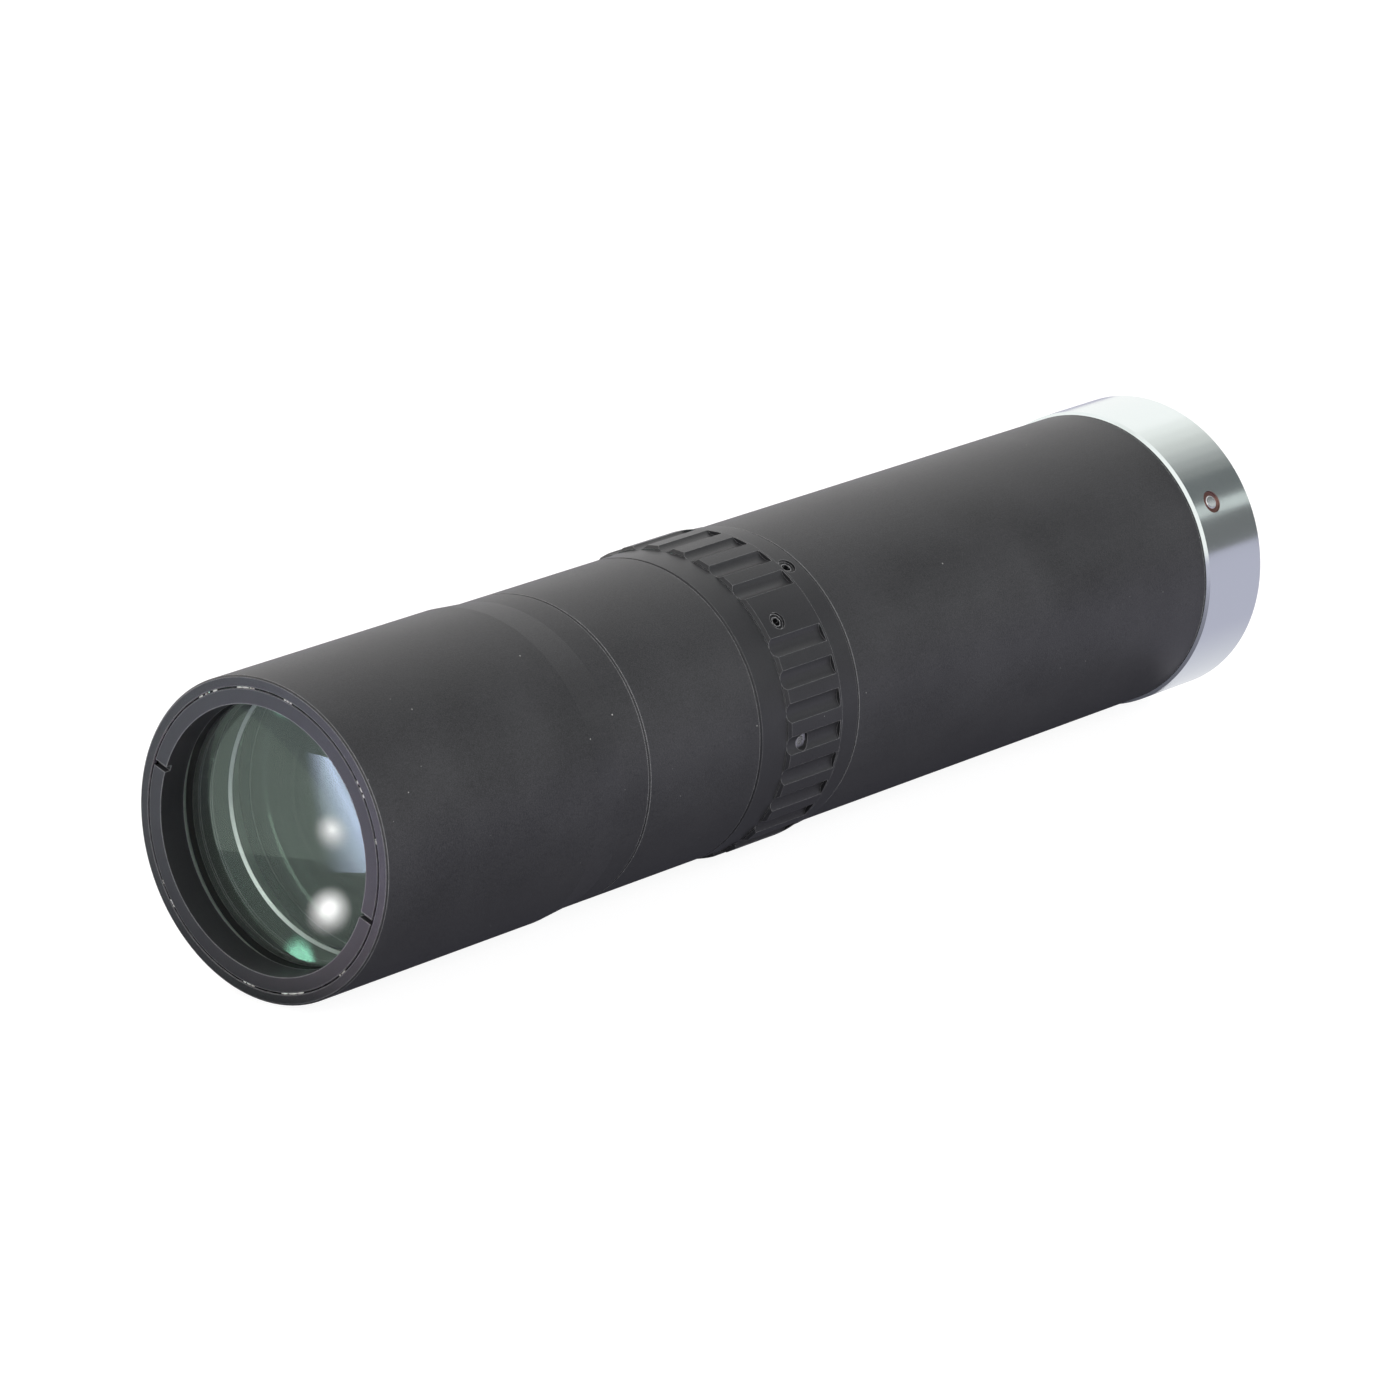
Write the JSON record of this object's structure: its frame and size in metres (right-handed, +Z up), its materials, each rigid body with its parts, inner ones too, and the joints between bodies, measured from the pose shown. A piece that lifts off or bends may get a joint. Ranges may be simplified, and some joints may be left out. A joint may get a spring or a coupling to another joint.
{
  "type": "telecentric lens",
  "caption": "Long cylindrical telecentric machine vision lens: black anodised barrels, knurled aperture ring with set screws, glass front group and a bright camera mount ring.",
  "frame": {"origin": "centre of the camera flange face, on the optical axis", "axes": "+X along the optical axis from the front lens towards the camera, +Z up as the lens lies in the picture"},
  "size_m": [0.2362, 0.0542, 0.0542],
  "materials": {
    "barrel_anodised": "black anodised, satin, fine bead blasted grain",
    "ring_anodised": "black anodised, satin, with brighter machined edges",
    "retainer_anodised": "black anodised, turned face",
    "inner_anodised": "matt black anodised inside surfaces",
    "optical_glass": "polished optical glass with a green antireflection coating",
    "mount_metal": "fine turned and satin chromed",
    "bright_screw": "bright steel",
    "black_screw": "black oxide steel",
    "iris_brass": "blackened brass",
    "blade_steel": "blackened spring steel"
  },
  "bodies": {
    "mount": {"mount_ring": "mount_metal", "mount_set_screws": "bright_screw"},
    "barrel": {"front_barrel": "barrel_anodised", "front_retaining_ring": "retainer_anodised", "front_lens": "optical_glass", "front_spacer": "inner_anodised", "front_crown_lens": "optical_glass", "front_flint_lens": "optical_glass", "front_baffle": "inner_anodised", "middle_barrel": "barrel_anodised", "core_tube": "inner_anodised", "iris_retaining_ring": "inner_anodised", "iris_base_plate": "iris_brass", "rear_baffle": "inner_anodised", "rear_barrel": "barrel_anodised", "rear_flint_lens": "optical_glass", "rear_crown_lens": "optical_glass", "rear_spacer": "inner_anodised", "rear_lens": "optical_glass", "rear_retaining_ring": "retainer_anodised"},
    "aperture_ring_body": {"aperture_ring": "ring_anodised", "iris_drive_screws": "black_screw", "ring_lock_screws": "black_screw", "iris_lock_screw": "bright_screw", "iris_cam_ring": "iris_brass"},
    "blade_1": {"iris_blade_1": "blade_steel"},
    "blade_2": {"iris_blade_2": "blade_steel"},
    "blade_3": {"iris_blade_3": "blade_steel"},
    "blade_4": {"iris_blade_4": "blade_steel"},
    "blade_5": {"iris_blade_5": "blade_steel"},
    "blade_6": {"iris_blade_6": "blade_steel"},
    "blade_7": {"iris_blade_7": "blade_steel"},
    "blade_8": {"iris_blade_8": "blade_steel"}
  },
  "joints": [
    {"name": "mount_rotation", "type": "hinge", "parent": "mount", "child": "barrel", "pos_m": [0, 0, 0], "axis": [1, 0, 0], "continuous": true},
    {"name": "aperture_turn", "type": "hinge", "parent": "barrel", "child": "aperture_ring_body", "pos_m": [-0.1267, 0, 0], "axis": [1, 0, 0], "range_deg": [0, 60]},
    {"name": "blade_1_pivot", "type": "hinge", "parent": "barrel", "child": "blade_1", "pos_m": [-0.1242, 0.0165, 0], "axis": [1, 0, 0], "range_deg": [0, 21.05]},
    {"name": "blade_2_pivot", "type": "hinge", "parent": "barrel", "child": "blade_2", "pos_m": [-0.1242, 0.01167, 0.01167], "axis": [1, 0, 0], "range_deg": [0, 21.05]},
    {"name": "blade_3_pivot", "type": "hinge", "parent": "barrel", "child": "blade_3", "pos_m": [-0.1242, 0, 0.0165], "axis": [1, 0, 0], "range_deg": [0, 21.05]},
    {"name": "blade_4_pivot", "type": "hinge", "parent": "barrel", "child": "blade_4", "pos_m": [-0.1242, -0.01167, 0.01167], "axis": [1, 0, 0], "range_deg": [0, 21.05]},
    {"name": "blade_5_pivot", "type": "hinge", "parent": "barrel", "child": "blade_5", "pos_m": [-0.1242, -0.0165, 0], "axis": [1, 0, 0], "range_deg": [0, 21.05]},
    {"name": "blade_6_pivot", "type": "hinge", "parent": "barrel", "child": "blade_6", "pos_m": [-0.1242, -0.01167, -0.01167], "axis": [1, 0, 0], "range_deg": [0, 21.05]},
    {"name": "blade_7_pivot", "type": "hinge", "parent": "barrel", "child": "blade_7", "pos_m": [-0.1242, 0, -0.0165], "axis": [1, 0, 0], "range_deg": [0, 21.05]},
    {"name": "blade_8_pivot", "type": "hinge", "parent": "barrel", "child": "blade_8", "pos_m": [-0.1242, 0.01167, -0.01167], "axis": [1, 0, 0], "range_deg": [0, 21.05]}
  ],
  "couplings": [
    {"joint": "blade_1_pivot", "follows": "aperture_turn", "ratio": 0.35},
    {"joint": "blade_2_pivot", "follows": "aperture_turn", "ratio": 0.35},
    {"joint": "blade_3_pivot", "follows": "aperture_turn", "ratio": 0.35},
    {"joint": "blade_4_pivot", "follows": "aperture_turn", "ratio": 0.35},
    {"joint": "blade_5_pivot", "follows": "aperture_turn", "ratio": 0.35},
    {"joint": "blade_6_pivot", "follows": "aperture_turn", "ratio": 0.35},
    {"joint": "blade_7_pivot", "follows": "aperture_turn", "ratio": 0.35},
    {"joint": "blade_8_pivot", "follows": "aperture_turn", "ratio": 0.35}
  ]
}
